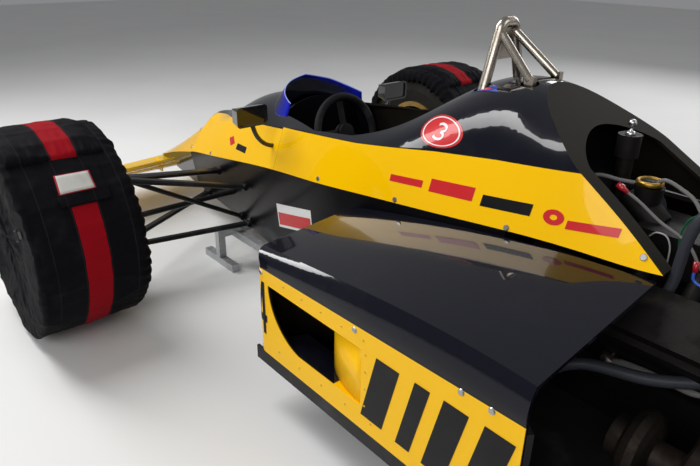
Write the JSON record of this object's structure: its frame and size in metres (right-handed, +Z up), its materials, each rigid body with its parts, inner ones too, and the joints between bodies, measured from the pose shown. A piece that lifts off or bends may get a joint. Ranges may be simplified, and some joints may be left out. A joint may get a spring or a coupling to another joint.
{
  "type": "open wheel racing car",
  "caption": "Open wheel single seat racing car on two paddock stands, rear engine cover off, warmers on its tyres, with turning wheels and working steering",
  "frame": {"origin": "on the shop floor under the middle of the car's overall box", "axes": "+X is forward, +Y is the car's left, +Z is up"},
  "size_m": [4.318, 2.149, 1.087],
  "materials": {
    "yellow_paint": "gloss yellow paint on a moulded skin",
    "black_gloss": "gloss black composite",
    "black_composite": "bare black composite",
    "tinted_screen": "blue tinted clear sheet",
    "plated_steel": "plated steel tube",
    "black_steel": "black painted steel tube",
    "dark_steel": "dark machined steel and iron",
    "cast_alloy": "cast light alloy",
    "dull_alloy": "dull finned light alloy",
    "cast_iron_grey": "cast iron and welded steel",
    "gold_alloy": "gold coloured light alloy",
    "galvanised_steel": "galvanised square tube",
    "tyre": "smooth black tyre rubber",
    "warmer_cloth": "black padded cloth with a red stripe",
    "black_rubber": "black rubber"
  },
  "bodies": {
    "chassis": {"monocoque_tub": "black_gloss", "nose_cone": "yellow_paint", "cockpit_cowl": "yellow_paint", "sidepod_left": "yellow_paint", "sidepod_right": "yellow_paint", "front_wing": "yellow_paint", "rear_wing": "yellow_paint", "flat_floor": "black_composite", "seat": "black_composite", "windscreen": "tinted_screen", "mirrors": "black_gloss", "roll_hoop": "plated_steel", "front_wishbones": "black_steel", "rear_wishbones": "black_steel", "engine": "cast_alloy", "gearbox": "cast_alloy", "turbochargers": "cast_iron_grey", "radiators": "dull_alloy", "engine_hoses": "black_rubber", "front_stand": "galvanised_steel", "rear_stand": "galvanised_steel", "upright_rear_left": "black_steel", "upright_rear_right": "black_steel"},
    "knuckle_front_left": {"upright_front_left": "black_steel"},
    "knuckle_front_right": {"upright_front_right": "black_steel"},
    "wheel_front_left": {"tyre_front_left": "tyre", "warmer_front_left": "warmer_cloth", "rim_front_left": "gold_alloy", "hub_front_left": "dark_steel"},
    "wheel_front_right": {"tyre_front_right": "tyre", "warmer_front_right": "warmer_cloth", "rim_front_right": "gold_alloy", "hub_front_right": "dark_steel"},
    "wheel_rear_left": {"tyre_rear_left": "tyre", "warmer_rear_left": "warmer_cloth", "rim_rear_left": "gold_alloy", "hub_rear_left": "dark_steel"},
    "wheel_rear_right": {"tyre_rear_right": "tyre", "warmer_rear_right": "warmer_cloth", "rim_rear_right": "gold_alloy", "hub_rear_right": "dark_steel"},
    "steering_wheel": {"steering_wheel": "black_rubber"},
    "steering_rack": {"steering_rack": "black_steel"}
  },
  "joints": [
    {"name": "steer_left", "type": "hinge", "parent": "chassis", "child": "knuckle_front_left", "pos_m": [1.068, 0.7455, 0.21], "axis": [-0.0608, -0.0646, 0.9961], "range_deg": [-18, 18]},
    {"name": "steer_right", "type": "hinge", "parent": "chassis", "child": "knuckle_front_right", "pos_m": [1.068, -0.7455, 0.21], "axis": [-0.0608, 0.0646, 0.9961], "range_deg": [-18, 18]},
    {"name": "steering_wheel_turn", "type": "hinge", "parent": "chassis", "child": "steering_wheel", "pos_m": [0.665, 0, 0.599], "axis": [-0.9563, 0, 0.2924], "range_deg": [-180, 180]},
    {"name": "rack_slide", "type": "slide", "parent": "chassis", "child": "steering_rack", "axis": [0, 1, 0], "range_m": [-0.0316, 0.0316]},
    {"name": "spin_front_left", "type": "hinge", "parent": "knuckle_front_left", "child": "wheel_front_left", "pos_m": [1.06, 0.9065, 0.35], "axis": [0, 1, 0], "continuous": true},
    {"name": "spin_front_right", "type": "hinge", "parent": "knuckle_front_right", "child": "wheel_front_right", "pos_m": [1.06, -0.9065, 0.35], "axis": [0, 1, 0], "continuous": true},
    {"name": "spin_rear_left", "type": "hinge", "parent": "chassis", "child": "wheel_rear_left", "pos_m": [-1.63, 0.8305, 0.362], "axis": [0, 1, 0], "continuous": true},
    {"name": "spin_rear_right", "type": "hinge", "parent": "chassis", "child": "wheel_rear_right", "pos_m": [-1.63, -0.8305, 0.362], "axis": [0, 1, 0], "continuous": true}
  ],
  "couplings": [
    {"joint": "steer_right", "follows": "steer_left", "ratio": 1},
    {"joint": "steering_wheel_turn", "follows": "steer_left", "ratio": 10},
    {"joint": "rack_slide", "follows": "steer_left", "m_per_rad": 0.1}
  ]
}
